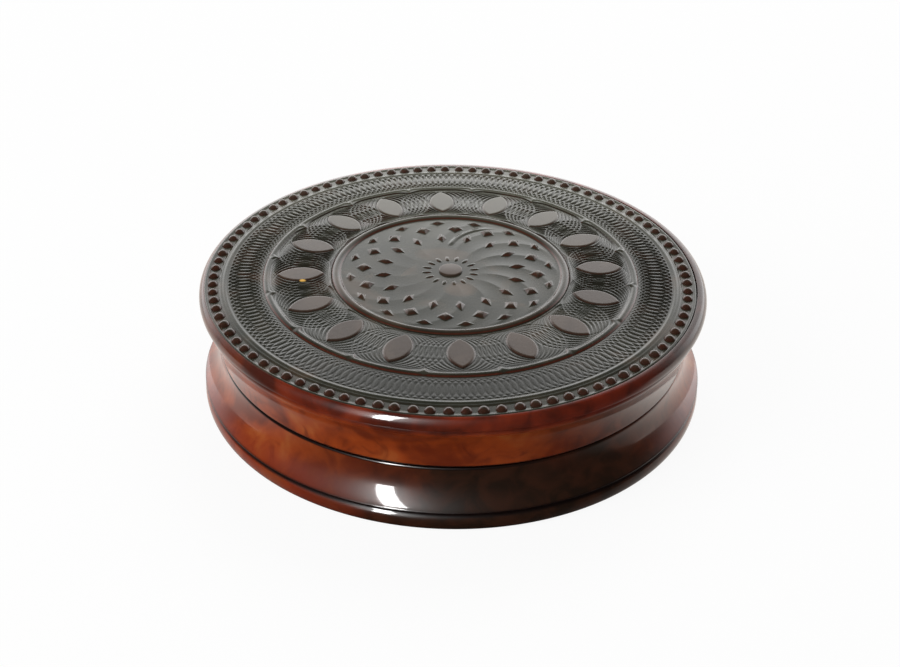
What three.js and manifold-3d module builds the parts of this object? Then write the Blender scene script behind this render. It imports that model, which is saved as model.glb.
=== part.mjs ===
// Round table snuff box of turned burr wood with a lift-off lid and an engine-turned top.
// Millimetres, +Z up. The foot stands on z = 0 and the turning axis is the Z axis.

import * as THREE from 'three';
import { mergeVertices } from 'three/addons/utils/BufferGeometryUtils.js';
import Module from 'manifold-3d';

// Overall sizes
const rimRadius = 42.5;
const footRadius = 42.85;
const seamHeight = 10.25;
const seamGap = 0.3;
const jointGap = 0.3;
const turningSides = 64;

// Base: foot bead, groove and hollow wall
const footBead = { height: 1.32, halfHeight: 1.32, neckRadius: 42.1, from: -90, to: 70 };
const footGroove = { height: 2.95, radius: 42.3 };
const baseWallBottom = { radius: 42.8, height: 3.35 };
const baseSeamRadius = 39.9;
const baseBoreRadius = 36.9;
const baseFloorThickness = 2.4;
const arrisRadius = 0.3;

// Lid: hollow skirt, fillet bead, rolled rim and recess for the panel
const lidSeamRadius = 40.0;
const lidWallTop = { radius: 41.5, height: 16.95 };
const lidBoreRadius = 38.0;
const filletBead = { height: 17.75, halfHeight: 0.75, radius: 42.05, neckRadius: 41.55, from: -60, to: 80 };
const rimRoll = { height: 19.04, radius: 1.66, from: -14 };
const recessRadius = 41.5;
const recessFloorHeight = 18.6;
const lidPlateHeight = 17.2;

// Linings of thin horn
const liningThickness = 0.8;
const neckThickness = 1.0;
const floorLiningThickness = 0.5;
const neckTopHeight = 14.9;
const neckChamfer = 0.3;
const lidHoopChamfer = 0.1;

// Panel: domed disc with everything that stands up on it
const panelRadius = recessRadius - jointGap;
const panelEdgeHeight = 20.3;
const panelRise = 0.75;
const pearlCount = 95;
const pearlCircle = 40.1;
const pearl = { radius: 1.05, sunk: 0.25, sides: 6 };
const pearlChannel = { radius: 38.95, depth: 0.5 };
const petalCount = 16;
const petalPhase = 4.4;
const petalCircle = 25.4;
const petalLength = 7.6;
const petalWidth = 3.8;
const petalProud = 0.45;
const scallopCircle = 31.4;
const scallopDepth = 0.75;
const cordWidth = 0.8;
const cordProud = 0.35;
const innerRing = { circle: 19.3, width: 1.3, proud: 0.5 };
const pipPhase = 8.5;
const pipProud = 0.45;
const pipRows = [
  { circle: 11.2, length: 3.8, width: 1.5, shift: 0 },
  { circle: 14.7, length: 2.3, width: 2.0, shift: 0.5 },
  { circle: 16.9, length: 1.5, width: 1.9, shift: 0 },
  { circle: 18.2, length: 0.7, width: 1.5, shift: 0.5 },
];
const boss = { radius: 2.0, proud: 0.35, sides: 24 };
const ray = { circle: 4.05, length: 1.5, width: 0.6, proud: 0.2 };
const rootDepth = 0.6;
const weldDistance = 1e-4;

const wasm = await Module();
wasm.setup();

const degree = Math.PI / 180;

// Points on an arc in the (radius, height) plane, angles in degrees from the outward direction
function arc(centre, radii, from, to, steps) {
  const points = [];
  for (let step = 0; step <= steps; step += 1) {
    const angle = (from + (to - from) * step / steps) * degree;
    points.push([centre[0] + radii[0] * Math.cos(angle), centre[1] + radii[1] * Math.sin(angle)]);
  }
  return points;
}

// A hollow wall between two points, upright at the end nearer the seam and flaring away from it
function cove(seam, flare, steps) {
  const across = flare[0] - seam[0];
  const along = flare[1] - seam[1];
  const radius = (across ** 2 + along ** 2) / (2 * across);
  const sweep = Math.asin(along / radius) / degree;
  return arc([seam[0] + radius, seam[1]], [radius, radius], 180, 180 - sweep, steps);
}

// Turn an outline, given anticlockwise in the (radius, height) plane, about the Z axis.
// One that starts on the axis also ends there, and any other closes on its first point.
function turned(outline, sides = turningSides) {
  const closing = outline[0][0] === 0 ? [] : [outline[0]];
  const points = [...outline, ...closing].map(([radius, height]) => new THREE.Vector2(radius, height));
  const geometry = new THREE.LatheGeometry(points, sides);
  geometry.rotateX(Math.PI / 2);
  return geometry;
}

function solidFrom(geometry) {
  const bare = geometry.clone();
  bare.deleteAttribute('normal');
  bare.deleteAttribute('uv');
  const merged = mergeVertices(bare, weldDistance);
  const mesh = new wasm.Mesh({
    numProp: 3,
    vertProperties: new Float32Array(merged.attributes.position.array),
    triVerts: new Uint32Array(merged.index.array),
  });
  return new wasm.Manifold(mesh);
}

function geometryFrom(solid) {
  const { vertProperties, triVerts } = solid.getMesh();
  const geometry = new THREE.BufferGeometry();
  geometry.setAttribute('position', new THREE.BufferAttribute(vertProperties, 3));
  geometry.setIndex(new THREE.BufferAttribute(triVerts, 1));
  geometry.computeVertexNormals();
  return geometry;
}

// Base: a shallow turned cup with a bead for a foot
function baseBodyGeometry() {
  const beadRadii = [footRadius - footBead.neckRadius, footBead.halfHeight];
  const bead = arc([footBead.neckRadius, footBead.height], beadRadii, footBead.from, footBead.to, 5);
  const seamStart = [baseSeamRadius, seamHeight - arrisRadius];
  const wall = cove(seamStart, [baseWallBottom.radius, baseWallBottom.height], 6).reverse();
  return turned([
    [0, 0],
    ...bead,
    [footGroove.radius, footGroove.height],
    ...wall,
    [baseSeamRadius - arrisRadius, seamHeight],
    [baseBoreRadius, seamHeight],
    [baseBoreRadius, baseFloorThickness],
    [0, baseFloorThickness],
  ]);
}

// Lid: an inverted cup whose skirt carries on the hollow of the base wall
function lidBodyGeometry() {
  const seamFace = seamHeight + seamGap;
  const seamStart = [lidSeamRadius, seamFace + arrisRadius];
  const wall = cove(seamStart, [lidWallTop.radius, lidWallTop.height], 6);
  const beadRadii = [filletBead.radius - filletBead.neckRadius, filletBead.halfHeight];
  const beadCentre = [filletBead.neckRadius, filletBead.height];
  const bead = arc(beadCentre, beadRadii, filletBead.from, filletBead.to, 4);
  const rollCentre = [rimRadius - rimRoll.radius, rimRoll.height];
  const lipAngle = Math.acos((recessRadius - rollCentre[0]) / rimRoll.radius) / degree;
  const roll = arc(rollCentre, [rimRoll.radius, rimRoll.radius], rimRoll.from, lipAngle, 6);
  return turned([
    [lidBoreRadius, seamFace],
    [lidSeamRadius - arrisRadius, seamFace],
    ...wall,
    ...bead,
    ...roll,
    [recessRadius, recessFloorHeight],
    [0, recessFloorHeight],
    [0, lidPlateHeight],
    [lidBoreRadius, lidPlateHeight],
  ]);
}

function discGeometry(radius, bottom, top) {
  return turned([[0, bottom], [radius, bottom], [radius, top], [0, top]]);
}

// A hoop of lining; the chamfer eases its outer top edge
function hoopGeometry(inner, outer, bottom, top, chamfer) {
  return turned([
    [inner, bottom],
    [outer, bottom],
    [outer, top - chamfer],
    [outer - chamfer, top],
    [inner, top],
  ]);
}

// Height of the panel's domed ground at a radius
function panelHeight(radius) {
  return panelEdgeHeight + panelRise * (1 - (radius / rimRadius) ** 2);
}

// A flat outline in X and Y stood up from inside the panel to a height, at a place on the panel
function standing(shape, radius, angle, proud, steps) {
  const bottom = panelHeight(radius) - rootDepth;
  const geometry = new THREE.ExtrudeGeometry(shape, {
    depth: rootDepth + proud,
    bevelEnabled: false,
    curveSegments: steps,
  });
  geometry.translate(0, -radius, bottom);
  geometry.rotateZ(angle * degree);
  return solidFrom(geometry);
}

// A leaf of two equal arcs, long along the radius
function leafShape(length, width) {
  const arcRadius = (length ** 2 + width ** 2) / (4 * width);
  const reach = Math.asin(length / 2 / arcRadius);
  const shape = new THREE.Shape();
  shape.absarc(width / 2 - arcRadius, 0, arcRadius, -reach, reach, false);
  shape.absarc(arcRadius - width / 2, 0, arcRadius, Math.PI - reach, Math.PI + reach, false);
  return shape;
}

// A four-sided pip, a pyramid on a diamond that is long along the radius
function pipSolid(row, angle) {
  const tall = rootDepth + pipProud;
  const spread = tall / pipProud;
  const geometry = new THREE.ConeGeometry(1, 1, 4);
  geometry.rotateX(Math.PI / 2);
  geometry.scale(row.width / 2 * spread, row.length / 2 * spread, tall);
  geometry.translate(0, -row.circle, panelHeight(row.circle) + pipProud - tall / 2);
  geometry.rotateZ(angle * degree);
  return solidFrom(geometry);
}

// One round-topped pearl
function pearlSolid(angle) {
  const centre = panelHeight(pearlCircle) - pearlChannel.depth - pearl.sunk;
  const shoulder = arc([0, centre], [pearl.radius, pearl.radius], 0, 45, 1);
  const outline = [[0, centre - rootDepth], [pearl.radius, centre - rootDepth], ...shoulder];
  const geometry = turned([...outline, [0, centre + pearl.radius]], pearl.sides);
  geometry.translate(0, -pearlCircle, 0);
  geometry.rotateZ(angle * degree);
  return solidFrom(geometry);
}

// Raised cord of shallow arches whose cusps point inwards, midway between the petals
function scallopSolid() {
  const steps = 4;
  const centreLine = [];
  for (let step = 0; step < petalCount * steps; step += 1) {
    const along = (step % steps) / steps;
    const radius = scallopCircle - scallopDepth * (2 * along - 1) ** 4;
    const angle = (petalPhase - 180 / petalCount + (step / steps) * (360 / petalCount)) * degree;
    centreLine.push([radius, angle]);
  }
  const ringOf = (offset) => centreLine.map(([radius, angle]) => {
    const distance = radius + offset;
    return new THREE.Vector2(distance * Math.sin(angle), -distance * Math.cos(angle));
  });
  const shape = new THREE.Shape(ringOf(cordWidth / 2));
  shape.holes.push(new THREE.Path(ringOf(-cordWidth / 2)));
  return standing(shape, 0, 0, cordProud + panelHeight(scallopCircle) - panelHeight(0), 1);
}

// The panel's ground: a domed disc with the inner ring turned on it and the pearls' channel sunk
function panelBlank() {
  const ringRadii = [innerRing.width / 2, innerRing.proud];
  const ring = arc([innerRing.circle, panelHeight(innerRing.circle)], ringRadii, 0, 180, 4);
  const channelFloor = panelHeight(pearlCircle) - pearlChannel.depth;
  return solidFrom(turned([
    [0, recessFloorHeight + jointGap],
    [panelRadius, recessFloorHeight + jointGap],
    [panelRadius, channelFloor],
    [pearlChannel.radius, channelFloor],
    [pearlChannel.radius, panelHeight(pearlChannel.radius)],
    [scallopCircle, panelHeight(scallopCircle)],
    ...ring,
    [pipRows[0].circle, panelHeight(pipRows[0].circle)],
    [0, panelHeight(0)],
  ]));
}

function panelGeometry() {
  let panel = panelBlank().add(scallopSolid());
  for (let index = 0; index < petalCount; index += 1) {
    const angle = petalPhase + index * 360 / petalCount;
    panel = panel.add(standing(leafShape(petalLength, petalWidth), petalCircle, angle, petalProud, 4));
  }
  for (const row of pipRows) {
    for (let index = 0; index < petalCount; index += 1) {
      panel = panel.add(pipSolid(row, pipPhase + (index + row.shift) * 360 / petalCount));
    }
  }
  for (let index = 0; index < petalCount; index += 1) {
    const angle = pipPhase + index * 360 / petalCount;
    panel = panel.add(standing(leafShape(ray.length, ray.width), ray.circle, angle, ray.proud, 1));
  }
  const bossShape = new THREE.Shape().absarc(0, 0, boss.radius, 0, 2 * Math.PI, false);
  panel = panel.add(standing(bossShape, 0, 0, boss.proud, boss.sides / 2));
  for (let index = 0; index < pearlCount; index += 1) {
    panel = panel.add(pearlSolid(index * 360 / pearlCount));
  }
  return geometryFrom(panel);
}

const burrWood = new THREE.MeshStandardMaterial({ color: 0x7a3a1c, roughness: 0.25, metalness: 0 });
const darkWood = new THREE.MeshStandardMaterial({ color: 0x4a423b, roughness: 0.55, metalness: 0 });
const horn = new THREE.MeshStandardMaterial({ color: 0x3a2416, roughness: 0.2, metalness: 0 });

function piece(name, geometry, material) {
  const mesh = new THREE.Mesh(geometry, material.clone());
  mesh.name = name;
  return mesh;
}

const neckOuter = baseBoreRadius - jointGap;
const neckInner = neckOuter - neckThickness;
const floorLiningBottom = baseFloorThickness + jointGap;
const floorLiningTop = floorLiningBottom + floorLiningThickness;
const lidLiningOuter = lidBoreRadius - jointGap;
const lidLiningInner = lidLiningOuter - liningThickness;
const lidDiscTop = lidPlateHeight - jointGap;
const lidDiscBottom = lidDiscTop - floorLiningThickness;
const lidHoopBottom = seamHeight + seamGap;
const lidHoopTop = lidDiscBottom - jointGap;

const base = new THREE.Group();
base.add(piece('base_body', baseBodyGeometry(), burrWood));
base.add(piece('base_lining_disc', discGeometry(neckOuter, floorLiningBottom, floorLiningTop), horn));
base.add(piece(
  'neck_hoop',
  hoopGeometry(neckInner, neckOuter, floorLiningTop + jointGap, neckTopHeight, neckChamfer),
  horn,
));

const lid = new THREE.Group();
lid.add(piece('lid_body', lidBodyGeometry(), burrWood));
lid.add(piece('lid_panel', panelGeometry(), darkWood));
lid.add(piece('lid_lining_disc', discGeometry(lidLiningOuter, lidDiscBottom, lidDiscTop), horn));
lid.add(piece(
  'lid_lining_hoop',
  hoopGeometry(lidLiningInner, lidLiningOuter, lidHoopBottom, lidHoopTop, lidHoopChamfer),
  horn,
));

const snuffBox = new THREE.Group();
snuffBox.add(base, lid);
export default snuffBox;
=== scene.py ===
import math

import bpy
from mathutils import Matrix, Quaternion, Vector


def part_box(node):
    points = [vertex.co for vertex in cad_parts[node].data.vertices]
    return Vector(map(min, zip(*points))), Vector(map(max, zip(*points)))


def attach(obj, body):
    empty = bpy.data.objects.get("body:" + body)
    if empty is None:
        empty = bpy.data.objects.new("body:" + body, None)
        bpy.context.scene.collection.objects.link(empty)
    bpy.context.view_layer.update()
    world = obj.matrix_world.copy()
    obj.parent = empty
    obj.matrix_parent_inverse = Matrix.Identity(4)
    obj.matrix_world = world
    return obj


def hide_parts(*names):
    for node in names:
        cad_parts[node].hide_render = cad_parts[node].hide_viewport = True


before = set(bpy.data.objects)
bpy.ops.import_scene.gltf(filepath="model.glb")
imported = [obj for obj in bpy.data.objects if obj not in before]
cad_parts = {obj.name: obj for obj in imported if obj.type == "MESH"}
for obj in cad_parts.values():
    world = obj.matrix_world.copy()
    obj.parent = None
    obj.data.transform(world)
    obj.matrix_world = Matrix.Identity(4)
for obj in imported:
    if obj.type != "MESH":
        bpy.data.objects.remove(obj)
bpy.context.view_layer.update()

# Base of the box: a shallow cup turned from one block of burr wood and bored out for the snuff.
# Its side is turned hollow above a fine groove and a bead, its underside has scored rings from
# the lathe, and the outside is French polished.
# Sizes are in mm, which mm turns into the scene's metres, and angles are in degrees.
mm = 0.001
base_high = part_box("base_body")[1]
foot_spread = 0.26
foot_radius = base_high.x / mm + foot_spread
seam_drop = 0.65
seam_height = base_high.z / mm - seam_drop
seam_gap = 0.3
bead_radii = (0.75, 1.32)
bead_centre = (foot_radius - bead_radii[0], bead_radii[1])
bead_ends = (-90, 70)
bead_steps = 14
foot_groove = (foot_radius - 0.62, 2.95, 0.12)
wall_bottom = (foot_radius - 0.05, 3.4, 0.16)
cove_steps = 20
base_seam_radius = 39.9
base_bore_radius = 36.9
base_floor_height = 2.4
base_mouth_edge = 0.2
base_floor_corner = 0.3
arris = 0.3
arris_angle = 15
arris_steps = 5
score_radii = (9.0, 11.5, 33.5)
score_width = 0.35
score_depth = 0.18
body_sides = 320
turned_sharp_from = 50
cloud_size = 11.0
figure_size = 5.0
eye_size = 1.4
ripple_size = 0.5
ripple_depth = 0.04
foot_red_heights = (6.5, 3.0)
foot_red_wander = 6.0
rim_red_heights = (16.9, 18.2)
rim_brown_reach = (20.0, 38.0)
# Painted shade in the groove above the foot and along the seam: how far it reaches, and where the seam's
# shade ends towards +X.
painted_groove_shade = (0.75, 0.35)
painted_seam_shade = (0.6, 0.3)
painted_seam_shade_end = 35.0
# The side of the base's dark heart, which is partly the burr's own figure and partly painted shade.
base_heart_and_shade_side = 18


def arc(centre, radii, start, stop, steps):
    """Points on an arc in radius and height, with its angles in degrees from the outward direction."""
    points = []
    for step in range(steps + 1):
        angle = math.radians(start + (stop - start) * step / steps)
        points.append((centre[0] + radii[0] * math.cos(angle), centre[1] + radii[1] * math.sin(angle)))
    return points


def cove(seam, flare, steps):
    """A hollow wall that leaves the seam upright and flares out to its other end."""
    across = flare[0] - seam[0]
    along = flare[1] - seam[1]
    radius = (across ** 2 + along ** 2) / (2 * across)
    sweep = math.degrees(math.asin(along / radius))
    return arc((seam[0] + radius, seam[1]), (radius, radius), 180, 180 - sweep, steps)


def eased(outline, steps=5):
    """Rounds every corner that has a third number, which is how far from it the curve begins."""
    points = []
    for index, corner in enumerate(outline):
        if len(corner) == 2:
            points.append(corner)
            continue
        here = Vector(corner[:2])
        before = Vector(outline[index - 1][:2])
        after = Vector(outline[(index + 1) % len(outline)][:2])
        start = here + (before - here).normalized() * corner[2]
        end = here + (after - here).normalized() * corner[2]
        for step in range(steps + 1):
            t = step / steps
            points.append(tuple(start * (1 - t) ** 2 + here * 2 * t * (1 - t) + end * t ** 2))
    return points


def turned(name, outline, sides):
    """A closed mesh from an outline in mm, anticlockwise in radius and height, spun about the Z axis.
    An outline that starts on the axis ends there too; any other closes on its first point."""
    points = []
    rings = []
    for radius, height in outline:
        count = sides if radius > 0 else 1
        rings.append([len(points) + side for side in range(count)] * (sides // count))
        for side in range(count):
            angle = 2 * math.pi * side / sides
            points.append((radius * mm * math.sin(angle), -radius * mm * math.cos(angle), height * mm))
    if outline[0][0] > 0:
        rings.append(rings[0])
    faces = []
    for lower, upper in zip(rings, rings[1:]):
        for side in range(sides):
            following = (side + 1) % sides
            corners = (lower[side], lower[following], upper[following], upper[side])
            faces.append(tuple(dict.fromkeys(corners)))
    mesh = bpy.data.meshes.new(name)
    mesh.from_pydata(points, [], faces)
    mesh.shade_smooth()
    mesh.set_sharp_from_angle(angle=math.radians(turned_sharp_from))
    return mesh


def fitted(name, mesh, finish, slot, body, *nodes):
    """Puts a finished mesh in the scene as the piece that stands for some nodes of the frame."""
    piece = bpy.data.objects.new(name, mesh)
    bpy.context.scene.collection.objects.link(piece)
    mesh.materials.clear()
    mesh.materials.append(finish)
    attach(piece, body)
    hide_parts(*nodes)


class Wire:
    """One output of a node. Each operator adds its Math node, and add() makes any other node."""

    def __init__(self, tree, owner=None, output=0):
        self.tree = tree
        self.owner = owner
        self.output = output

    def at(self, output):
        """Another output of the same node."""
        return Wire(self.tree, self.owner, output)

    def feed(self, sockets):
        """Gives the node's input sockets their values or links."""
        for name, value in sockets.items():
            if isinstance(value, Wire):
                self.tree.links.new(value.owner.outputs[value.output], self.owner.inputs[name])
            else:
                self.owner.inputs[name].default_value = value
        return self

    def add(self, kind, settings, sockets, output=0):
        """A new node: its type, its settings, which are set first, and its sockets."""
        made = Wire(self.tree, self.tree.nodes.new(kind), output)
        for name, value in settings.items():
            setattr(made.owner, name, value)
        return made.feed(sockets)

    def math(self, operation, *others):
        return self.add("ShaderNodeMath", {"operation": operation}, dict(enumerate((self, *others))))

    def __add__(self, other):
        return self.math("ADD", other)

    def __sub__(self, other):
        return self.math("SUBTRACT", other)

    def __rsub__(self, other):
        return self.add("ShaderNodeMath", {"operation": "SUBTRACT"}, {0: other, 1: self})

    def __mul__(self, other):
        return self.math("MULTIPLY", other)

    def __truediv__(self, other):
        return self.math("DIVIDE", other)

    def __pow__(self, other):
        return self.math("POWER", other)

    def __neg__(self):
        return self.math("MULTIPLY", -1.0)

    __radd__ = __add__
    __rmul__ = __mul__

    def ease(self, start, stop):
        """0 before start, 1 after stop and a smooth rise between them."""
        ends = {"Value": self, "From Min": start, "From Max": stop}
        return self.add("ShaderNodeMapRange", {"interpolation_type": "SMOOTHSTEP"}, ends)

    def between(self, first, second):
        """A colour that goes from the first to the second as this value goes from 0 to 1."""
        return self.add("ShaderNodeMix", {"data_type": "RGBA"}, {0: self, 6: first, 7: second}, 2)


def srgb(red, green, blue):
    """A colour as it is seen, 0 to 255 each, turned into the linear values that a node takes."""
    linear = []
    for value in (red, green, blue):
        share = value / 255
        linear.append(share / 12.92 if share <= 0.04045 else ((share + 0.055) / 1.055) ** 2.4)
    return (*linear, 1.0)


def new_finish(name):
    """An empty material, with the wire that its nodes start from."""
    material = bpy.data.materials.new(name)
    material.use_nodes = True
    material.node_tree.nodes.clear()
    return material, Wire(material.node_tree)


def noise(place, size, detail=2.0, roughness=0.5, distortion=0.0):
    """Cloudy noise whose patches are about size across, in metres."""
    settings = {"noise_dimensions": "3D"}
    sockets = {"Vector": place, "Scale": 1 / size, "Detail": detail}
    sockets.update({"Roughness": roughness, "Distortion": distortion})
    return place.add("ShaderNodeTexNoise", settings, sockets)


def burr_finish(name, shift, dark_and_shaded_side, heart_and_shade_darkness):
    """Polished burr: soft orange and brown clouds, a few small eyes, a dark heart on one side of the
    block, which dark_and_shaded_side gives in degrees from the front towards +X and which is partly the
    burr's own dark figure and partly painted shade, painted shade in the groove above the foot and along
    the seam on the left, and a deeper red towards the rim."""
    chestnut = srgb(106, 37, 10)
    orange_brown = srgb(150, 62, 18)
    honey = srgb(168, 92, 42)
    vein_brown = srgb(74, 24, 9)
    foot_red = srgb(132, 40, 12)
    heart_and_shade_brown = srgb(38, 23, 13)
    # Colours of the dark heart: partly the burr's own dark figure, partly painted shade on that side.
    heart_and_shade_edge = srgb(58, 32, 19)
    rim_dark_red = srgb(60, 16, 9)
    rim_light_red = srgb(108, 29, 12)
    rim_brown = srgb(42, 26, 20)
    # Painted shade of the foot groove and the seam.
    painted_shade_brown = srgb(24, 9, 6)
    material, root = new_finish(name)
    object_place = root.add("ShaderNodeTexCoord", {}, {}, "Object")
    place = root.add("ShaderNodeMapping", {}, {"Vector": object_place, "Location": shift})
    split = root.add("ShaderNodeSeparateXYZ", {}, {"Vector": object_place})
    x, y, z = split.at(0), split.at(1), split.at(2)
    heart_and_shade_angle = math.radians(dark_and_shaded_side)
    towards_heart_and_shade = (x * math.sin(heart_and_shade_angle) - y * math.cos(heart_and_shade_angle)) / (foot_radius * mm)
    clouds = noise(place, cloud_size * mm, 2.0, 0.45, 0.8)
    figure = noise(place, figure_size * mm, 3.0, 0.5, 1.0)
    eyes = noise(place, eye_size * mm, 2.0, 0.5, 0.6)
    tone = clouds * 0.66 + figure * 0.26 + eyes * 0.08
    wood = tone.ease(0.38, 0.58).between(chestnut, orange_brown)
    wood = tone.ease(0.54, 0.7).between(wood, honey)
    wood = (figure.ease(0.44, 0.28) * 0.45).between(wood, vein_brown)
    low_down = z + (figure - 0.5) * (foot_red_wander * mm)
    low_down = low_down.ease(foot_red_heights[0] * mm, foot_red_heights[1] * mm)
    wood = (low_down * 0.6).between(wood, foot_red)
    # Painted shade: the dark heart darkens the front-right side as if in shade, on top of the burr's own
    # dark figure.
    heart_and_shade = (towards_heart_and_shade + (clouds - 0.5) * 0.5).ease(0.45, 0.95) * heart_and_shade_darkness
    wood = heart_and_shade.between(wood, figure.ease(0.35, 0.65).between(heart_and_shade_brown, heart_and_shade_edge))
    rim_red = (clouds * 0.6 + figure * 0.4).ease(0.42, 0.6).between(rim_dark_red, rim_light_red)
    at_sides = x.math("ABSOLUTE").ease(rim_brown_reach[0] * mm, rim_brown_reach[1] * mm)
    rim_red = (at_sides * 0.8).between(rim_red, rim_brown)
    high_up = z.ease(rim_red_heights[0] * mm, rim_red_heights[1] * mm)
    wood = (high_up * 0.8).between(wood, rim_red)
    # Painted shade: darker in the groove above the foot, and along the seam on the left, fading out towards
    # the right.
    groove_shade = (z - foot_groove[1] * mm).math("ABSOLUTE").ease(painted_groove_shade[0] * mm, painted_groove_shade[1] * mm)
    seam_shade = (z - (seam_height + seam_gap / 2) * mm).math("ABSOLUTE")
    seam_shade = seam_shade.ease(painted_seam_shade[0] * mm, painted_seam_shade[1] * mm) * x.ease(painted_seam_shade_end * mm, 0.0)
    wood = groove_shade.math("MAXIMUM", seam_shade).between(wood, painted_shade_brown)
    turned_height = root.add("ShaderNodeCombineXYZ", {}, {"Z": z})
    ripple = figure * 0.4 + eyes * 0.3 + noise(turned_height, ripple_size * mm) * 0.3
    ripple = {"Strength": 0.2, "Distance": ripple_depth * mm, "Height": ripple}
    bump = root.add("ShaderNodeBump", {}, ripple)
    surface = root.add("ShaderNodeBsdfPrincipled", {}, {
        "Base Color": wood,
        "Roughness": 0.36 - figure * 0.1,
        "Normal": bump,
        "Specular IOR Level": 0.25,
        "Coat Weight": 0.85,
        "Coat Roughness": 0.06,
        "Coat IOR": 1.45,
    })
    root.add("ShaderNodeOutputMaterial", {}, {"Surface": surface})
    return material


underside = [(0.0, 0.0)]
for radius in score_radii:
    underside += [(radius, 0.0), (radius + score_width / 2, score_depth), (radius + score_width, 0.0)]
base_arris_centre = (base_seam_radius - arris, seam_height - arris)
base_outline = [
    *underside,
    *arc(bead_centre, bead_radii, *bead_ends, bead_steps),
    foot_groove,
    wall_bottom,
    *reversed(cove((base_seam_radius, seam_height - arris), wall_bottom, cove_steps)[:-1]),
    *arc(base_arris_centre, (arris, arris), arris_angle, 90, arris_steps),
    (base_bore_radius, seam_height, base_mouth_edge),
    (base_bore_radius, base_floor_height, base_floor_corner),
    (0.0, base_floor_height),
]
base_wood = burr_finish("polished burr of the base", (0.0, 0.0, 0.0), base_heart_and_shade_side, 1.0)
base_mesh = turned("turned_base", eased(base_outline), body_sides)
fitted("turned_base", base_mesh, base_wood, "burr_wood", "base", "base_body")

# Linings of the base: a thin disc of dark horn laid on its floor, and the neck, a bent and glued
# hoop of the same horn that stands up out of the base so that the lid slips over it.
lining_sides = 192
lining_edge = 0.08
neck_thickness = 1.0
neck_top_edge = 0.45
streak_length = 14.0
streak_stretch = 3.0
horn_grain_size = 1.8
horn_grain_depth = 0.03


def horn_finish():
    """Dark horn, scraped and polished: brown with long paler streaks that run round the hoop."""
    dark_horn = srgb(38, 22, 14)
    brown_horn = srgb(96, 56, 30)
    pale_horn = srgb(138, 92, 54)
    material, root = new_finish("polished dark horn")
    object_place = root.add("ShaderNodeTexCoord", {}, {}, "Object")
    stretch = {"Vector": object_place, "Scale": (1.0, 1.0, streak_stretch)}
    place = root.add("ShaderNodeMapping", {}, stretch)
    streaks = noise(place, streak_length * mm, 4.0, 0.6, 1.5)
    grain = noise(place, horn_grain_size * mm, 3.0, 0.6, 0.5)
    horn = streaks.ease(0.38, 0.7).between(dark_horn, brown_horn)
    horn = (streaks * 0.6 + grain * 0.4).ease(0.56, 0.74).between(horn, pale_horn)
    scraped = {"Strength": 0.15, "Distance": horn_grain_depth * mm, "Height": grain}
    bump = root.add("ShaderNodeBump", {}, scraped)
    surface = root.add("ShaderNodeBsdfPrincipled", {}, {
        "Base Color": horn,
        "Roughness": 0.2 + grain * 0.16,
        "Normal": bump,
        "Specular IOR Level": 0.5,
        "Coat Weight": 0.2,
        "Coat Roughness": 0.08,
    })
    root.add("ShaderNodeOutputMaterial", {}, {"Surface": surface})
    return material


def lining_disc(name, node, body):
    """A disc of horn with its rim just broken, where the frame has it."""
    low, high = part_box(node)
    radius, bottom, top = high.x / mm, low.z / mm, high.z / mm
    outline = [(0.0, bottom), (radius, bottom, lining_edge), (radius, top, lining_edge), (0.0, top)]
    fitted(name, turned(name, eased(outline, 3), lining_sides), horn, "horn_lining", body, node)


def lining_hoop(name, node, body, thickness, top_edge):
    """A hoop of horn where the frame has it, with its top edge eased."""
    low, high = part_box(node)
    outer, bottom, top = high.x / mm, low.z / mm, high.z / mm
    inner = outer - thickness
    outline = [
        (inner, bottom, lining_edge),
        (outer, bottom, lining_edge),
        (outer, top, top_edge),
        (inner, top, lining_edge * 2),
    ]
    fitted(name, turned(name, eased(outline, 4), lining_sides), horn, "horn_lining", body, node)


horn = horn_finish()
lining_disc("floor_lining", "base_lining_disc", "base")
lining_hoop("neck", "neck_hoop", "base", neck_thickness, neck_top_edge)

# Lid: a second cup of the same burr, turned as one with the base so that the hollow of its skirt
# runs on above the seam. A fillet and a rolled rim finish it, and its top is sunk for the panel.
lid_low, lid_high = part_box("lid_body")
rim_spread = 0.38
lid_seam_height = lid_low.z / mm - seam_drop
rim_radius = lid_high.x / mm + rim_spread
lid_seam_radius = 40.0
lid_wall_top = (41.7, 16.95)
lid_bore_radius = 38.0
fillet_centre = (41.85, 17.75)
fillet_radii = (0.5, 0.75)
fillet_ends = (-60, 80)
fillet_steps = 10
roll_radius = 1.66
roll_centre = (rim_radius - roll_radius, 19.04)
roll_ends = (-14, 62)
roll_steps = 16
recess_radius = 41.2
lip_height = 20.5
lip_edge = 0.12
skirt_edge = 0.15
recess_floor = 18.6
lid_plate = 17.2
plate_corner = 0.25
lid_grain_shift = (0.031, -0.017, 0.052)
# The lid's dark heart, partly its own figure and partly painted shade on the front right.
lid_heart_and_shade_side = 68
lid_heart_and_shade_darkness = 0.85

lid_arris_centre = (lid_seam_radius - arris, lid_seam_height + arris)
lid_outline = [
    (0.0, lid_plate),
    (lid_bore_radius, lid_plate, plate_corner),
    (lid_bore_radius, lid_seam_height, skirt_edge),
    *arc(lid_arris_centre, (arris, arris), -90, -arris_angle, arris_steps),
    *cove((lid_seam_radius, lid_seam_height + arris), lid_wall_top, cove_steps),
    *arc(fillet_centre, fillet_radii, *fillet_ends, fillet_steps),
    *arc(roll_centre, (roll_radius, roll_radius), *roll_ends, roll_steps),
    (recess_radius, lip_height, lip_edge),
    (recess_radius, recess_floor),
    (0.0, recess_floor),
]
lid_wood = burr_finish("polished burr of the lid", lid_grain_shift, lid_heart_and_shade_side, lid_heart_and_shade_darkness)
lid_mesh = turned("turned_lid", eased(lid_outline), body_sides)
fitted("turned_lid", lid_mesh, lid_wood, "burr_wood", "lid", "lid_body")

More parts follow.
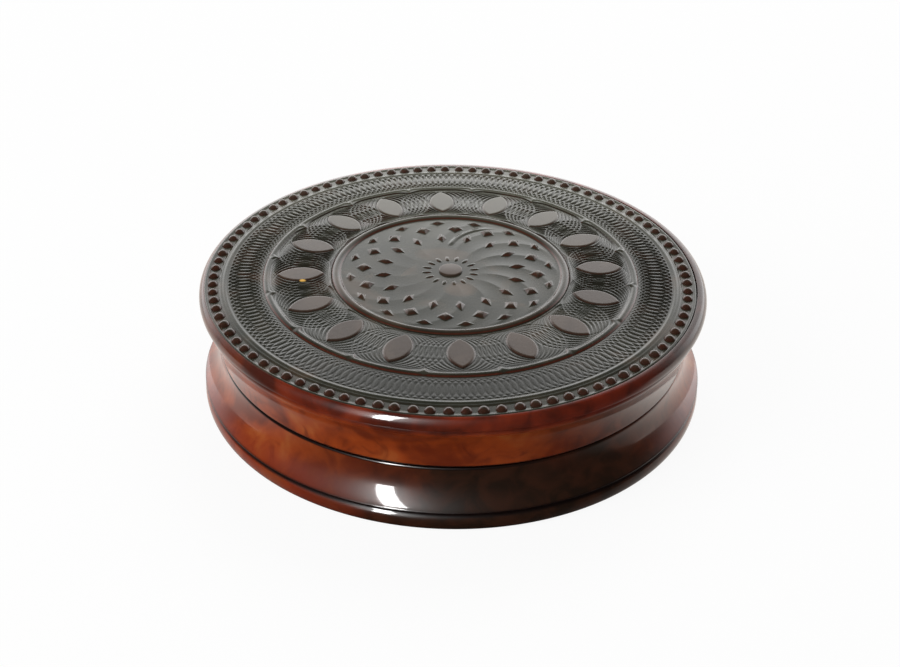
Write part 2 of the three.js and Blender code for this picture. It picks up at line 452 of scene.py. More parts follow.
# Linings of the lid: a hoop of horn inside the skirt, which slides over the neck, and a disc of
# horn under the lid's plate.
lid_hoop_thickness = 0.8
lid_hoop_top_edge = 0.1

lining_hoop("lid_hoop", "lid_lining_hoop", "lid", lid_hoop_thickness, lid_hoop_top_edge)
lining_disc("lid_lining", "lid_lining_disc", "lid")

# Panel: a domed disc of dark wood cut on a rose engine and let into the lid. Each band is made by
# many overlapping circular cuts, and what the cuts leave standing is the pattern. It is worked here
# in closed rings that meet edge to edge, and sits a little off the lid's centre.
panel_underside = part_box("lid_panel")[0].z / mm
panel_edge_height = 20.55
panel_rise = 0.5
panel_shift = Vector((-0.46, -0.13, 0.0))
glint_place = (-24.75, -3.95)
glint_reach = (0.65, 0.26)
tan_patches = [((-1.4, 5.5), (5.5, 2.8)), ((1.6, -6.2), (3.2, 2.8))]
speck_fade = (1.0, 0.2)
dust_cloud_size = 9.0
panel_grain_size = 0.6
panel_grain_depth = 0.03
# Painted shade in the fine cuts: where it starts and where it is full, at the front and at the right.
painted_shade_at_front = (-14.0, -34.0)
painted_shade_at_right = (18.0, 36.0)
# Painted sheen: where the panel starts and ends turning paler towards the back.
painted_sheen_at_back = (0.0, 32.0)
panel_sharp_from = 75
merge_distance = 0.5e-6
rounding_guard = 1e-4


def speck(place, centre, reach):
    """1 at a point of the panel and 0 outside an ellipse round it, from mm in plan."""
    split = place.add("ShaderNodeSeparateXYZ", {}, {"Vector": place})
    off_x = (split.at(0) - (centre[0] + panel_shift.x) * mm) / (reach[0] * mm)
    off_y = (split.at(1) - (centre[1] + panel_shift.y) * mm) / (reach[1] * mm)
    return (off_x ** 2 + off_y ** 2).ease(*speck_fade)


def dark_wood_finish():
    """Stained wood under old wax: grey-green dust, painted sheen that makes it paler at the back,
    painted shade in the fine cuts at the front and right, dark red-brown on the sides of what stands,
    red where they are steepest, and greyish brown where the tops are rubbed."""
    dust = srgb(45, 46, 38)
    pale_dust = srgb(59, 57, 47)
    brown_dust = srgb(90, 70, 55)
    tan_wood = srgb(92, 74, 58)
    # Painted shade of the fine cuts at the front and right, and its darker specks.
    painted_shade_grey = srgb(36, 36, 30)
    painted_shade_dark = srgb(26, 26, 21)
    rubbed_brown = srgb(66, 54, 46)
    rubbed_pale = srgb(80, 66, 56)
    # Painted sheen at the back of the panel.
    painted_sheen_grey = srgb(104, 104, 92)
    side_brown = srgb(58, 29, 19)
    side_grey = srgb(36, 33, 27)
    side_red = srgb(108, 50, 34)
    glint = srgb(248, 196, 100)
    material, root = new_finish("waxed dark panel wood")
    place = root.add("ShaderNodeTexCoord", {}, {}, "Object")
    rubbed = root.add("ShaderNodeAttribute", {"attribute_name": "rubbed"}, {}, "Fac")
    finely_cut = root.add("ShaderNodeAttribute", {"attribute_name": "finely cut"}, {}, "Fac")
    steep = root.add("ShaderNodeAttribute", {"attribute_name": "steep"}, {}, "Fac")
    split = root.add("ShaderNodeSeparateXYZ", {}, {"Vector": place})
    rightwards, backwards = split.at(0), split.at(1)
    clouds = noise(place, dust_cloud_size * mm, 3.0, 0.6, 0.6)
    grain = noise(place, panel_grain_size * mm, 3.0, 0.65, 0.4)
    dusty = clouds.ease(0.35, 0.65).between(dust, pale_dust)
    dusty = (clouds.ease(0.56, 0.7) * 0.4).between(dusty, brown_dust)
    for centre, reach in tan_patches:
        dusty = (speck(place, centre, reach) * clouds).between(dusty, tan_wood)
    # Painted shade: the fine cuts darken towards the front and the right.
    shade_in_front = backwards.ease(painted_shade_at_front[0] * mm, painted_shade_at_front[1] * mm)
    shade_at_right = rightwards.ease(painted_shade_at_right[0] * mm, painted_shade_at_right[1] * mm)
    painted_shade_mask = shade_in_front.math("MAXIMUM", shade_at_right * 0.8) * finely_cut
    dusty = (painted_shade_mask * 0.85).between(dusty, painted_shade_grey)
    top = clouds.ease(0.35, 0.65).between(rubbed_brown, rubbed_pale)
    wood = (rubbed + (grain - 0.5) * 0.4).ease(0.4, 1.0).between(dusty, top)
    # Painted sheen: paler grey towards the back.
    sheen_at_back = backwards.ease(painted_sheen_at_back[0] * mm, painted_sheen_at_back[1] * mm)
    wood = (sheen_at_back * 0.65).between(wood, painted_sheen_grey)
    side = (finely_cut * (1 - clouds.ease(0.5, 0.62) * 0.6)).between(side_brown, side_grey)
    # Painted shade: dark specks in the fine cuts at the front and right.
    wood = (grain.ease(0.5, 0.4) * painted_shade_mask * 0.6).between(wood, painted_shade_dark)
    kept_dark = 1 - rubbed * 0.7
    wood = ((steep + (grain - 0.5) * 0.06).ease(0.05, 0.26) * kept_dark).between(wood, side)
    red = (steep + (grain - 0.5) * 0.2).ease(0.14, 0.45) * (1 - finely_cut * 0.85) * kept_dark
    wood = red.between(wood, side_red)
    wood = speck(place, glint_place, glint_reach).between(wood, glint)
    rough_grain = {"Strength": 0.3, "Distance": panel_grain_depth * mm, "Height": grain}
    bump = root.add("ShaderNodeBump", {}, rough_grain)
    surface = root.add("ShaderNodeBsdfPrincipled", {}, {
        "Base Color": wood,
        "Roughness": 0.22 + (grain - 0.5) * 0.16 + painted_shade_mask * 0.08,
        "Normal": bump,
        "Specular IOR Level": 0.65,
    })
    root.add("ShaderNodeOutputMaterial", {}, {"Surface": surface})
    return material


ring_inputs = {
    "Inner radius": "NodeSocketFloat",
    "Outer radius": "NodeSocketFloat",
    "Columns": "NodeSocketInt",
    "Rows": "NodeSocketInt",
    "Underside": "NodeSocketFloat",
    "Edge height": "NodeSocketFloat",
    "Rise": "NodeSocketFloat",
    "Rim radius": "NodeSocketFloat",
    "Cuts": "NodeSocketInt",
    "Cuts in a group": "NodeSocketInt",
    "Group step": "NodeSocketFloat",
    "Cut step": "NodeSocketFloat",
    "First cut": "NodeSocketFloat",
    "Cut circle": "NodeSocketFloat",
    "Cut radius": "NodeSocketFloat",
}


def turning_tree(name, relief):
    """The node tree of one ring. From the radius, the angle and the clearance, which is how far the
    nearest cut is, relief gives the height over the panel's dome, in metres, and two shares: how far
    the top is rubbed and how much of it is fine cutting. The grid's first row is the inner edge of
    the underside, then come the rows of the top, from its inner edge outwards, and the last two rows
    lead back along the underside to where the first row lies, so that merging closes the ring."""
    tree = bpy.data.node_groups.new(name, "GeometryNodeTree")
    tree.interface.new_socket(name="Ring", in_out="OUTPUT", socket_type="NodeSocketGeometry")
    for label, kind in ring_inputs.items():
        tree.interface.new_socket(name=label, in_out="INPUT", socket_type=kind)
    given = Wire(tree).add("NodeGroupInput", {}, {})
    columns, rows = given.at("Columns"), given.at("Rows")
    inner, outer = given.at("Inner radius"), given.at("Outer radius")

    grid = given.add("GeometryNodeMeshGrid", {}, {"Vertices X": rows + 4, "Vertices Y": columns + 1})
    index = given.add("GeometryNodeInputIndex", {}, {})
    row = ((index + 0.5) / (columns + 1)).math("FLOOR")
    angle = (index - row * (columns + 1)) / columns * (2 * math.pi)
    along = ((row - 1) / rows).math("MAXIMUM", 0.0).math("MINIMUM", 1.0)
    on_top = row.math("GREATER_THAN", 0.5) * (rows + 1.5).math("GREATER_THAN", row)
    along = along * (rows + 2.5).math("GREATER_THAN", row)
    radius = inner + (outer - inner) * along
    x, y = radius * angle.math("SINE"), -radius * angle.math("COSINE")
    flat = given.add("ShaderNodeCombineXYZ", {}, {"X": x, "Y": y})
    sheet = given.add("GeometryNodeSetPosition", {}, {"Geometry": grid, "Position": flat})
    far_off = {"Geometry": sheet, "Name": "clearance", "Value": 1.0}
    sheet = given.add("GeometryNodeStoreNamedAttribute", {"data_type": "FLOAT"}, far_off)

    opening = given.add("GeometryNodeRepeatInput", {}, {})
    closing = given.add("GeometryNodeRepeatOutput", {}, {})
    opening.owner.pair_with_output(closing.owner)
    opening.feed({"Iterations": given.at("Cuts"), "Geometry": sheet})
    cut, in_group = opening.at("Iteration"), given.at("Cuts in a group")
    group = (cut / in_group + rounding_guard).math("FLOOR")
    place_in_group = cut - group * in_group - (in_group - 1) / 2
    cut_angle = given.at("First cut") + group * given.at("Group step")
    cut_angle = cut_angle + place_in_group * given.at("Cut step")
    centre = given.add("ShaderNodeCombineXYZ", {}, {
        "X": given.at("Cut circle") * cut_angle.math("SINE"),
        "Y": given.at("Cut circle") * -cut_angle.math("COSINE"),
    })
    position = given.add("GeometryNodeInputPosition", {}, {})
    reach = given.add("ShaderNodeVectorMath", {"operation": "DISTANCE"}, {0: position, 1: centre}, "Value")
    clearance = given.add("GeometryNodeInputNamedAttribute", {"data_type": "FLOAT"}, {"Name": "clearance"})
    nearest = (reach - given.at("Cut radius")).math("ABSOLUTE").math("MINIMUM", clearance)
    stored = {"Geometry": opening.at("Geometry"), "Name": "clearance", "Value": nearest}
    closing.feed({"Geometry": given.add("GeometryNodeStoreNamedAttribute", {"data_type": "FLOAT"}, stored)})

    stands, rubbed, finely_cut = relief(radius, angle, clearance)
    dome = given.at("Edge height") + given.at("Rise") * (1 - (radius / given.at("Rim radius")) ** 2)
    worn = {"Geometry": closing, "Name": "rubbed", "Value": on_top * rubbed}
    marked = given.add("GeometryNodeStoreNamedAttribute", {"data_type": "FLOAT"}, worn)
    cut_share = {"Geometry": marked, "Name": "finely cut", "Value": on_top * finely_cut}
    marked = given.add("GeometryNodeStoreNamedAttribute", {"data_type": "FLOAT"}, cut_share)
    height = (dome + stands) * on_top + given.at("Underside") * (1 - on_top)
    lifted = given.add("ShaderNodeCombineXYZ", {}, {"X": x, "Y": y, "Z": height})
    shaped = given.add("GeometryNodeSetPosition", {}, {"Geometry": marked, "Position": lifted})
    facing = given.add("GeometryNodeInputNormal", {}, {})
    upwards = given.add("ShaderNodeSeparateXYZ", {}, {"Vector": facing}).at(2)
    within = row.math("GREATER_THAN", 1.5) * (rows + 0.5).math("GREATER_THAN", row)
    steep = {"Geometry": shaped, "Name": "steep", "Value": (1 - upwards) * within}
    shaped = given.add("GeometryNodeStoreNamedAttribute", {"data_type": "FLOAT"}, steep)
    closed = given.add("GeometryNodeMergeByDistance", {}, {
        "Geometry": shaped, "Distance": merge_distance})
    whole = given.add("GeometryNodeRealizeInstances", {}, {"Geometry": closed})
    finished = given.add("GeometryNodeSetMaterial", {}, {"Geometry": whole, "Material": dark_wood})
    given.add("NodeGroupOutput", {}, {"Ring": finished})
    return tree


def baked(name, tree, sizes):
    """The mesh that a node tree makes with these sizes."""
    holder = bpy.data.objects.new(name, bpy.data.meshes.new(name))
    bpy.context.scene.collection.objects.link(holder)
    modifier = holder.modifiers.new("shape", "NODES")
    modifier.node_group = tree
    for item in tree.interface.items_tree:
        if item.in_out == "INPUT":
            modifier[item.identifier] = sizes[item.name]
    evaluated = holder.evaluated_get(bpy.context.evaluated_depsgraph_get())
    mesh = bpy.data.meshes.new_from_object(evaluated)
    bpy.data.objects.remove(holder)
    mesh.name = name
    mesh.shade_smooth()
    mesh.set_sharp_from_angle(angle=math.radians(panel_sharp_from))
    return mesh


def let_in(name, mesh):
    """Puts a piece of the panel where it was let into the lid, a little off the lid's centre."""
    mesh.transform(Matrix.Translation(panel_shift * mm))
    fitted(name, mesh, dark_wood, "dark_panel", "lid", "lid_panel")


def panel_ring(name, span, columns, rows, relief, cuts=None):
    """One ring of the panel between two radii in mm, with its rose engine's cuts."""
    sizes = {
        "Inner radius": span[0] * mm,
        "Outer radius": span[1] * mm,
        "Columns": columns,
        "Rows": rows,
        "Underside": panel_underside * mm,
        "Edge height": panel_edge_height * mm,
        "Rise": panel_rise * mm,
        "Rim radius": rim_radius * mm,
        "Cuts": 0,
        "Cuts in a group": 1,
        "Group step": 0.0,
        "Cut step": 0.0,
        "First cut": 0.0,
        "Cut circle": 0.0,
        "Cut radius": 0.0,
    }
    sizes.update(cuts or {})
    let_in(name, baked(name, turning_tree(name, relief), sizes))


dark_wood = dark_wood_finish()

# Pearl border of the panel: a sunk channel between a fine raised line and the rim, with a ring of
# 95 round pearls left standing in it.
channel_inner = 38.78
panel_radius = 41.45
channel_outer = 41.15
channel_inner_slope = 0.26
channel_outer_slope = 0.5
channel_depth = 0.15
panel_edge_width = 0.12
panel_edge_drop = 0.1
line_radius = 38.08
line_half_width = 0.34
line_height = 0.12
line_roundness = 0.8
lattice_outer = 37.7
border_start = lattice_outer - 0.2
border_columns = 1440
border_rows = 28
pearl_count = 95
pearl_circle = 40.02
pearl_radius = 1.02
pearl_sunk = 0.38
pearl_segments = 16
pearl_rings = 9
pearl_unevenness = 0.04
pearl_seed = 7
pearl_brown = 0.19
pearl_crown = 0.9
pearl_crown_wear = 0.06


def hump(radius, middle, half_width, height):
    """The height of a rounded line, in metres, from wires or numbers in metres."""
    across = ((radius - middle) / half_width).math("ABSOLUTE").math("MINIMUM", 1.0)
    return (1 - across ** 2) ** line_roundness * height


def border_relief(radius, angle, clearance):
    """The raised line, the sunk channel and the rounded outer edge."""
    sunk = radius.ease(channel_inner * mm, (channel_inner + channel_inner_slope) * mm)
    sunk = sunk * radius.ease(channel_outer * mm, (channel_outer - channel_outer_slope) * mm)
    line = hump(radius, line_radius * mm, line_half_width * mm, line_height * mm)
    edge = radius.ease((panel_radius - panel_edge_width) * mm, panel_radius * mm)
    return line - sunk * (channel_depth * mm) - edge * (panel_edge_drop * mm), 0.0, 0.0


panel_ring("panel_border", (border_start, panel_radius), border_columns, border_rows, border_relief)


def pearl_tree():
    """A ring of pearls, each a little out of place and of size as hand work leaves them, and stored as
    steep as makes them brown, with paler crowns."""
    tree = bpy.data.node_groups.new("pearl ring", "GeometryNodeTree")
    tree.interface.new_socket(name="Pearls", in_out="OUTPUT", socket_type="NodeSocketGeometry")
    labels = {"Count": "NodeSocketInt", "Circle": "NodeSocketFloat", "Centre height": "NodeSocketFloat"}
    labels.update({"Radius": "NodeSocketFloat", "Unevenness": "NodeSocketFloat", "Seed": "NodeSocketInt"})
    for label, kind in labels.items():
        tree.interface.new_socket(name=label, in_out="INPUT", socket_type=kind)
    given = Wire(tree).add("NodeGroupInput", {}, {})
    index = given.add("GeometryNodeInputIndex", {}, {})
    uneven, seed = given.at("Unevenness"), given.at("Seed")
    slip = given.add("FunctionNodeRandomValue", {"data_type": "FLOAT"}, {
        2: -uneven, 3: uneven, "ID": index, "Seed": seed}, 1)
    swell = given.add("FunctionNodeRandomValue", {"data_type": "FLOAT"}, {
        2: 1 - uneven, 3: 1 + uneven, "ID": index, "Seed": seed + 1}, 1)
    angle = (index + slip) / given.at("Count") * (2 * math.pi)
    place = given.add("ShaderNodeCombineXYZ", {}, {
        "X": given.at("Circle") * angle.math("SINE"),
        "Y": given.at("Circle") * -angle.math("COSINE"),
        "Z": given.at("Centre height"),
    })
    points = given.add("GeometryNodePoints", {}, {"Count": given.at("Count"), "Position": place})
    bead = given.add("GeometryNodeMeshUVSphere", {}, {
        "Segments": pearl_segments, "Rings": pearl_rings, "Radius": given.at("Radius")})
    strung = given.add("GeometryNodeInstanceOnPoints", {}, {
        "Points": points, "Instance": bead, "Scale": swell})
    whole = given.add("GeometryNodeRealizeInstances", {}, {"Geometry": strung})
    position = given.add("GeometryNodeInputPosition", {}, {})
    height = given.add("ShaderNodeSeparateXYZ", {}, {"Vector": position}).at("Z")
    top = (height - given.at("Centre height")) / given.at("Radius")
    brown = pearl_brown - top.ease(pearl_crown, 1.0) * pearl_crown_wear
    marked = given.add("GeometryNodeStoreNamedAttribute", {"data_type": "FLOAT"}, {
        "Geometry": whole, "Name": "steep", "Value": brown})
    finished = given.add("GeometryNodeSetMaterial", {}, {"Geometry": marked, "Material": dark_wood})
    given.add("NodeGroupOutput", {}, {"Pearls": finished})
    return tree


pearl_ground = panel_edge_height + panel_rise * (1 - (pearl_circle / rim_radius) ** 2)
pearl_mesh = baked("panel_pearls", pearl_tree(), {
    "Count": pearl_count,
    "Circle": pearl_circle * mm,
    "Centre height": (pearl_ground - channel_depth - pearl_sunk) * mm,
    "Radius": pearl_radius * mm,
    "Unevenness": pearl_unevenness,
    "Seed": pearl_seed,
})
let_in("panel_pearls", pearl_mesh)

# Outer band of the panel: 208 small circular cuts spaced round the box, whose crossings leave
# a lattice of fine diamonds.
scallop_outer = 31.8
lattice_cuts = 208
lattice_circle = 35.0
lattice_cut_radius = 3.15
lattice_height = 0.24
front_wear = 0.76
middle_half_width = 2.1
cut_slope = 0.3
lattice_inner_ease = 0.3
lattice_end = lattice_outer - 0.35
ridge_rub = 0.3
lattice_columns = 1920
lattice_rows = 42


def crispness(angle, more_wear=0.0):
    """How much of a fine cut's depth is left: less of it towards the worn front, where the angle is 0."""
    return 1 - (1 + angle.math("COSINE")).ease(1.0, 2.0) * (front_wear + more_wear)


def lattice_relief(radius, angle, clearance):
    """Ridges that the crossing cuts leave, lower in the worn middle of the band."""
    ends = radius.ease(scallop_outer * mm, (scallop_outer + lattice_inner_ease) * mm)
    ends = ends * radius.ease(border_start * mm, lattice_end * mm)
    ridge = clearance.ease(0.0, cut_slope * mm) * ends
    middle_wear = hump(radius, lattice_circle * mm, middle_half_width * mm, (1 - front_wear) / 2)
    return ridge * (lattice_height * mm) * crispness(angle, middle_wear), ridge * ridge_rub, ends


lattice_cutting = {
    "Cuts": lattice_cuts,
    "Group step": 2 * math.pi / lattice_cuts,
    "Cut circle": lattice_circle * mm,
    "Cut radius": lattice_cut_radius * mm,
}
lattice_span = (scallop_outer, border_start)
panel_ring("panel_lattice", lattice_span, lattice_columns, lattice_rows, lattice_relief, lattice_cutting)

# Petal band of the panel: sixteen groups of seven circular cuts. What all the circles of a group
# enclose stands as a leaf-shaped petal, and between the petals the cuts cross. A scalloped cord
# with its cusps pointing inwards closes the band.
petal_count = 16
petal_angle = 4.09
petal_cuts = 7
petal_cut_step = 1.875
petal_circle = 25.5
petal_cut_radius = 4.8
petal_wall = 0.45
petal_roundness = 3
petal_height = 0.28
petal_band_ease = 0.4
band_join = 25.9
petal_columns = 1600
inner_rows = 54
outer_rows = 58
cord_inner = 20.2
scallop_edges = (30.5, 31.74)
scallop_height = 0.38
cusp_reach = 1.0
cusp_half_width = 1.6
cusp_sharpness = 1.4
scallop_foot = 0.02


def petal_relief(radius, angle, clearance):
    """Petals where all the circles of a group enclose the place, and crossing strokes between them."""
    pitch = 2 * math.pi / petal_count
    turn = (angle - math.radians(petal_angle)) / pitch + petal_count + 0.5
    from_petal = (turn.math("FRACT") - 0.5).math("ABSOLUTE") * pitch
    group_half = math.radians(petal_cut_step) * (petal_cuts - 1) / 2
    off_x = radius * from_petal.math("SINE") + math.sin(group_half) * petal_circle * mm
    off_y = radius * from_petal.math("COSINE") - math.cos(group_half) * petal_circle * mm
    enclosed = petal_cut_radius * mm - (off_x ** 2 + off_y ** 2).math("SQRT")
    petal = (enclosed / (petal_wall * mm)).math("MAXIMUM", 0.0).math("MINIMUM", 1.0)
    petal = 1 - (1 - petal) ** petal_roundness
    ends = radius.ease(cord_inner * mm, (cord_inner + petal_band_ease) * mm)
    ends = ends * radius.ease(scallop_outer * mm, (scallop_outer - petal_band_ease) * mm)
    stroke = clearance.ease(0.0, cut_slope * mm) * (lattice_height * mm) * crispness(angle)
    return (petal * (petal_height * mm)).math("MAXIMUM", stroke * ends), petal, (1 - petal) * ends


def scallop_relief(radius, angle, clearance):
    """The outer part of the petal band, with the scalloped cord laid over the cutting."""
    pitch = 2 * math.pi / petal_count
    cusp_angle = math.radians(petal_angle) - pitch / 2
    turn = (angle - cusp_angle) / pitch + petal_count + 0.5
    from_cusp = (turn.math("FRACT") - 0.5).math("ABSOLUTE") * math.degrees(pitch)
    spur = (1 - from_cusp / cusp_half_width).math("MAXIMUM", 0.0) ** cusp_sharpness
    inner = scallop_edges[0] * mm - spur * (cusp_reach * mm)
    outer = scallop_edges[1] * mm
    cord = hump(radius, (inner + outer) / 2, (outer - inner) / 2, scallop_height * mm)
    cutting, petal, finely_cut = petal_relief(radius, angle, clearance)
    off_cord = cord.math("LESS_THAN", scallop_foot * mm)
    return cutting.math("MAXIMUM", cord), petal, finely_cut * off_cord


petal_cutting = {
    "Cuts": petal_count * petal_cuts,
    "Cuts in a group": petal_cuts,
    "Group step": 2 * math.pi / petal_count,
    "Cut step": math.radians(petal_cut_step),
    "First cut": math.radians(petal_angle),
    "Cut circle": petal_circle * mm,
    "Cut radius": petal_cut_radius * mm,
}
inner_span = (cord_inner, band_join)
outer_span = (band_join, scallop_outer)
panel_ring("panel_petals_inner", inner_span, petal_columns, inner_rows, petal_relief, petal_cutting)
panel_ring("panel_petals_outer", outer_span, petal_columns, outer_rows, scallop_relief, petal_cutting)

# Rosette of the panel: sixteen wide circular cuts that all pass near the centre, which leave rows
# of pips standing. A cord rings it, and short rays surround the flat boss in the middle.
rosette_cuts = 16
rosette_first = -2.86
rosette_circle = 10.71
rosette_cut_radius = 8.42
rosette_columns = 640
rosette_rows = 140
cord_radius = 19.4
cord_half_width = 0.8
cord_height = 0.48
cord_rub = 0.7
ray_phase = 8.39
ray_circle = 4.05
ray_half_length = 0.75
ray_half_width = 0.36
ray_height = 0.15
boss_radius = 2.0
boss_height = 0.35
boss_depth = 1.2
boss_edge = 0.2
boss_sides = 64
rosette_inner = boss_radius - 0.3
pip_slope = 0.8
pip_height = 0.45
pip_inner_ease = (7.0, 9.5)
pip_outer_ease = (19.0, 18.6)
tool_half_width = 1.27
tool_circle = 11.5
tool_narrowing = 0.056
flute_height = 0.07
flute_inner_ease = (4.0, 10.0)
flute_outer_ease = (18.6, 17.5)
flute_even_share = 0.6
flute_right_more = 0.4
crease_angle = 130.9
crease_half_width = 0.5
crease_height = 0.14
crease_inner_ease = (8.5, 10.0)
crease_outer_ease = (17.5, 15.0)


def between_radii(radius, inner_ease, outer_ease):
    """1 between two radii, easing to 0 at both, from pairs of radii in mm."""
    begun = radius.ease(inner_ease[0] * mm, inner_ease[1] * mm)
    return begun * radius.ease(outer_ease[0] * mm, outer_ease[1] * mm)


def rosette_relief(radius, angle, clearance):
    """Pips that the wide cuts leave, soft flutes along the cuts, one crease, the cord and the rays."""
    pitch = 2 * math.pi / rosette_cuts
    arc_constant = rosette_circle ** 2 - rosette_cut_radius ** 2
    tool = tool_half_width * mm - (radius - tool_circle * mm) * tool_narrowing
    pips = ((clearance - tool) * pip_slope).math("MAXIMUM", 0.0).math("MINIMUM", pip_height * mm)
    pips = pips * between_radii(radius, pip_inner_ease, pip_outer_ease)
    arc_cosine = (radius ** 2 + arc_constant * mm ** 2) / (radius * (2 * rosette_circle * mm))
    leaning = angle - math.radians(rosette_first) - arc_cosine.math("MINIMUM", 1.0).math("ARCCOSINE")
    turn = leaning / pitch + rosette_cuts
    from_groove = 1 - (turn.math("FRACT") * 2 - 1).math("ABSOLUTE")
    kept = between_radii(radius, flute_inner_ease, flute_outer_ease)
    kept = kept * (flute_even_share + angle.math("SINE") * flute_right_more)
    relief = pips + from_groove ** 2 * (flute_height * mm) * kept
    from_crease = angle - math.radians(crease_angle)
    reach = radius ** 2 + (rosette_circle * mm) ** 2
    reach = (reach - radius * from_crease.math("COSINE") * (2 * rosette_circle * mm)).math("SQRT")
    crease = hump(reach, rosette_cut_radius * mm, crease_half_width * mm, crease_height * mm)
    crease = crease * from_crease.math("GREATER_THAN", 0.0) * from_crease.math("LESS_THAN", math.pi / 2)
    crease = crease * between_radii(radius, crease_inner_ease, crease_outer_ease)
    cord = hump(radius, cord_radius * mm, cord_half_width * mm, cord_height * mm)
    turn = (angle - math.radians(ray_phase)) / pitch + rosette_cuts + 0.5
    across = (turn.math("FRACT") - 0.5) * pitch * radius / (ray_half_width * mm)
    outwards = (radius - ray_circle * mm) / (ray_half_length * mm)
    rays = (1 - across ** 2 - outwards ** 2).math("MAXIMUM", 0.0).math("SQRT") * (ray_height * mm)
    relief = relief.math("MAXIMUM", crease).math("MAXIMUM", cord).math("MAXIMUM", rays)
    on_cord = cord / (cord_height * mm) * cord_rub
    return relief, (pips / (pip_height * mm)).math("MAXIMUM", on_cord), 0.0


rosette_cutting = {
    "Cuts": rosette_cuts,
    "Group step": 2 * math.pi / rosette_cuts,
    "First cut": math.radians(rosette_first),
    "Cut circle": rosette_circle * mm,
    "Cut radius": rosette_cut_radius * mm,
}
rosette_span = (rosette_inner, cord_inner)
panel_ring("panel_rosette", rosette_span, rosette_columns, rosette_rows, rosette_relief, rosette_cutting)

boss_ground = panel_edge_height + panel_rise
boss_outline = [
    (0.0, boss_ground - boss_depth),
    (boss_radius, boss_ground - boss_depth),
    (boss_radius, boss_ground + boss_height, boss_edge),
    (0.0, boss_ground + boss_height),
]
boss_mesh = turned("panel_boss", eased(boss_outline), boss_sides)
boss_mark = boss_mesh.attributes.new("rubbed", "FLOAT", "POINT")
boss_mark.data.foreach_set("value", [1.0] * len(boss_mesh.vertices))
let_in("panel_boss", boss_mesh)

# Studio: a pale floor that keeps the box's shadow, a surround that the polish reflects as white
# behind the box and dark overhead and in front, soft lights, and a tall narrow window that gives
# the highlight at the front left.
white = (1.0, 1.0, 1.0, 1.0)
warm_white = (1.0, 0.93, 0.87, 1.0)
paper_white = (0.9, 0.9, 0.9, 1.0)
floor_glow = 0.92
floor_fade = (-0.045, -0.005)
surround_light = 0.4
surround_fade = (0.0, 0.7)
surround_turn = 0.05
overhead_fade = (0.8, 0.3)
back_wall_light = 2.2


def plain_mesh(name, corners):
    """A flat four-cornered piece of the studio."""
    mesh = bpy.data.meshes.new(name)
    mesh.from_pydata(corners, [], [(0, 1, 2, 3)])
    piece = bpy.data.objects.new(name, mesh)
    bpy.context.scene.collection.objects.link(piece)
    return piece


def area_light(name, azimuth, elevation, distance, size, power, lean=0.0):
    """A soft light at an azimuth from the front towards +X, pointed at the box."""
    lamp = bpy.data.lights.new(name, "AREA")
    lamp.shape = "RECTANGLE"
    lamp.size, lamp.size_y = size
    lamp.energy = power
    piece = bpy.data.objects.new(name, lamp)
    bpy.context.scene.collection.objects.link(piece)
    a, e = math.radians(azimuth), math.radians(elevation)
    towards = Vector((math.sin(a) * math.cos(e), -math.cos(a) * math.cos(e), math.sin(e)))
    piece.location = towards * distance
    piece.rotation_mode = "QUATERNION"
    leaning = Quaternion((0.0, 0.0, 1.0), math.radians(lean))
    piece.rotation_quaternion = towards.to_track_quat("Z", "Y") @ leaning
    return piece


floor_half = 1.5
floor_drop = 0.02 * mm
floor = plain_mesh("floor", [
    (-floor_half, -floor_half, -floor_drop),
    (floor_half, -floor_half, -floor_drop),
    (floor_half, floor_half, -floor_drop),
    (-floor_half, floor_half, -floor_drop),
])
floor_paint, root = new_finish("pale floor")
paper = root.add("ShaderNodeBsdfDiffuse", {}, {"Color": paper_white})
glow = root.add("ShaderNodeEmission", {}, {"Color": white, "Strength": 1.0})
seen = root.add("ShaderNodeLightPath", {}, {}, "Is Camera Ray")
floor_place = root.add("ShaderNodeTexCoord", {}, {}, "Object")
floor_place = root.add("ShaderNodeSeparateXYZ", {}, {"Vector": floor_place})
behind = (floor_place.at(1) + floor_place.at(0) * surround_turn).ease(*floor_fade)
reflected_light = root.add("ShaderNodeEmission", {}, {"Color": warm_white, "Strength": behind})
floor_mix = root.add("ShaderNodeMixShader", {}, {0: seen * floor_glow, 1: paper, 2: glow})
floor_mix = root.add("ShaderNodeMixShader", {}, {
    0: seen.at("Is Glossy Ray"), 1: floor_mix, 2: reflected_light})
root.add("ShaderNodeOutputMaterial", {}, {"Surface": floor_mix})
floor.data.materials.append(floor_paint)

world = bpy.data.worlds.new("surround")
bpy.context.scene.world = world
world.use_nodes = True
world.node_tree.nodes.clear()
root = Wire(world.node_tree)
path = root.add("ShaderNodeLightPath", {}, {}, "Is Camera Ray")
direction = root.add("ShaderNodeTexCoord", {}, {}, "Generated")
direction = root.add("ShaderNodeSeparateXYZ", {}, {"Vector": direction})
behind = (direction.at(1) + direction.at(0) * surround_turn).ease(*surround_fade)
low = direction.at(2).ease(*overhead_fade)
mirrored = path.at("Is Glossy Ray") * (behind ** 2 * low * back_wall_light - surround_light)
strength = surround_light + path * (1 - surround_light) + mirrored
background = root.add("ShaderNodeBackground", {}, {"Color": white, "Strength": strength})
root.add("ShaderNodeOutputWorld", {}, {"Surface": background})

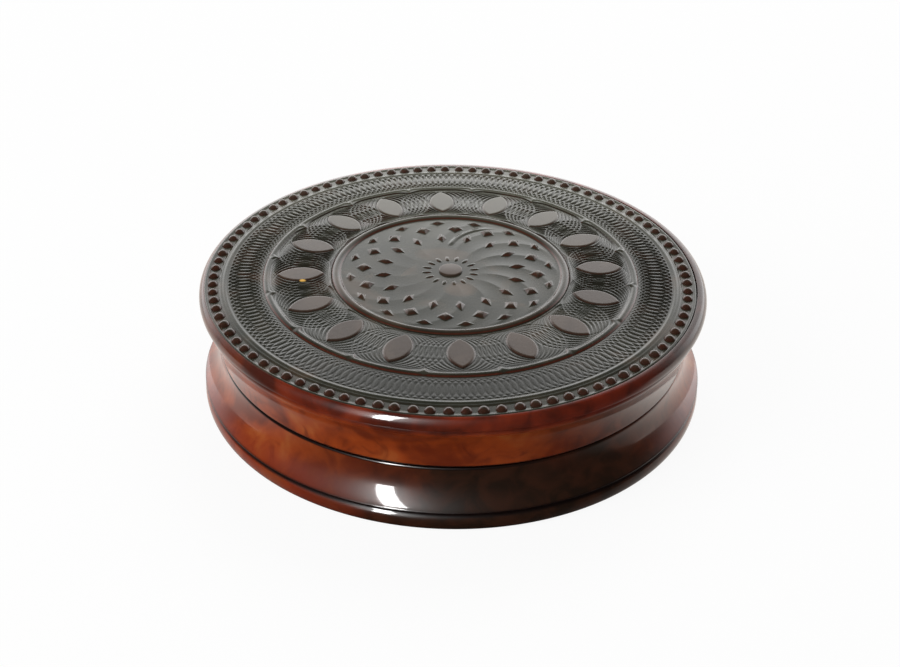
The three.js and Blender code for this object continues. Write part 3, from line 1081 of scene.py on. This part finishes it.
light_behind = area_light(
    "light behind", azimuth=165, elevation=48, distance=0.9, size=(0.7, 0.5), power=4.0)
light_behind.visible_glossy = False
light_at_left = area_light(
    "light at the left", azimuth=-62, elevation=30, distance=0.8, size=(0.5, 0.5), power=3.4)
light_at_left.visible_glossy = False
window = area_light(
    "window", azimuth=-28.9, elevation=38, distance=0.7, size=(0.092, 0.58), power=7.2, lean=4)
window.visible_diffuse = False
polished_wood = bpy.data.collections.new("polished wood")
for name in ("turned_base", "turned_lid"):
    polished_wood.objects.link(bpy.data.objects[name])
window.light_linking.receiver_collection = polished_wood

# Camera: at the photograph's viewing angle, fitted to the outlines of the rim and the foot and to
# the rings of the pattern. Its distance is from the panel's centre, level with the widest part of the
# rim. Pan, tilt and roll are in degrees.
camera_elevation = math.radians(30.54)
camera_distance = 245.0 * mm
focal_length = 57.39
film_width = 36.0
nearest_seen = 0.01
farthest_seen = 20.0
pan, tilt, roll = (math.radians(angle) for angle in (0.012, -2.099, 0.84))
aim = Vector((0.0, 0.0, roll_centre[1] * mm)) + panel_shift * mm
back = Vector((0.0, -math.cos(camera_elevation), math.sin(camera_elevation)))
right = Vector((1.0, 0.0, 0.0))
up = back.cross(right)
panned = math.cos(pan) * -back + math.sin(pan) * right
right = math.cos(pan) * right + math.sin(pan) * back
view_axis = math.cos(tilt) * panned + math.sin(tilt) * up
up = math.cos(tilt) * up - math.sin(tilt) * panned
across = math.cos(roll) * right + math.sin(roll) * up
upright = math.cos(roll) * up - math.sin(roll) * right
lens = bpy.data.cameras.new("camera")
lens.lens = focal_length
lens.sensor_width = film_width
lens.clip_start = nearest_seen
lens.clip_end = farthest_seen
camera = bpy.data.objects.new("camera", lens)
bpy.context.scene.collection.objects.link(camera)
camera.matrix_world = Matrix((
    (across.x, upright.x, -view_axis.x, aim.x + camera_distance * back.x),
    (across.y, upright.y, -view_axis.y, aim.y + camera_distance * back.y),
    (across.z, upright.z, -view_axis.z, aim.z + camera_distance * back.z),
    (0.0, 0.0, 0.0, 1.0),
))
bpy.context.scene.camera = camera
bpy.context.scene.view_settings.view_transform = "Standard"
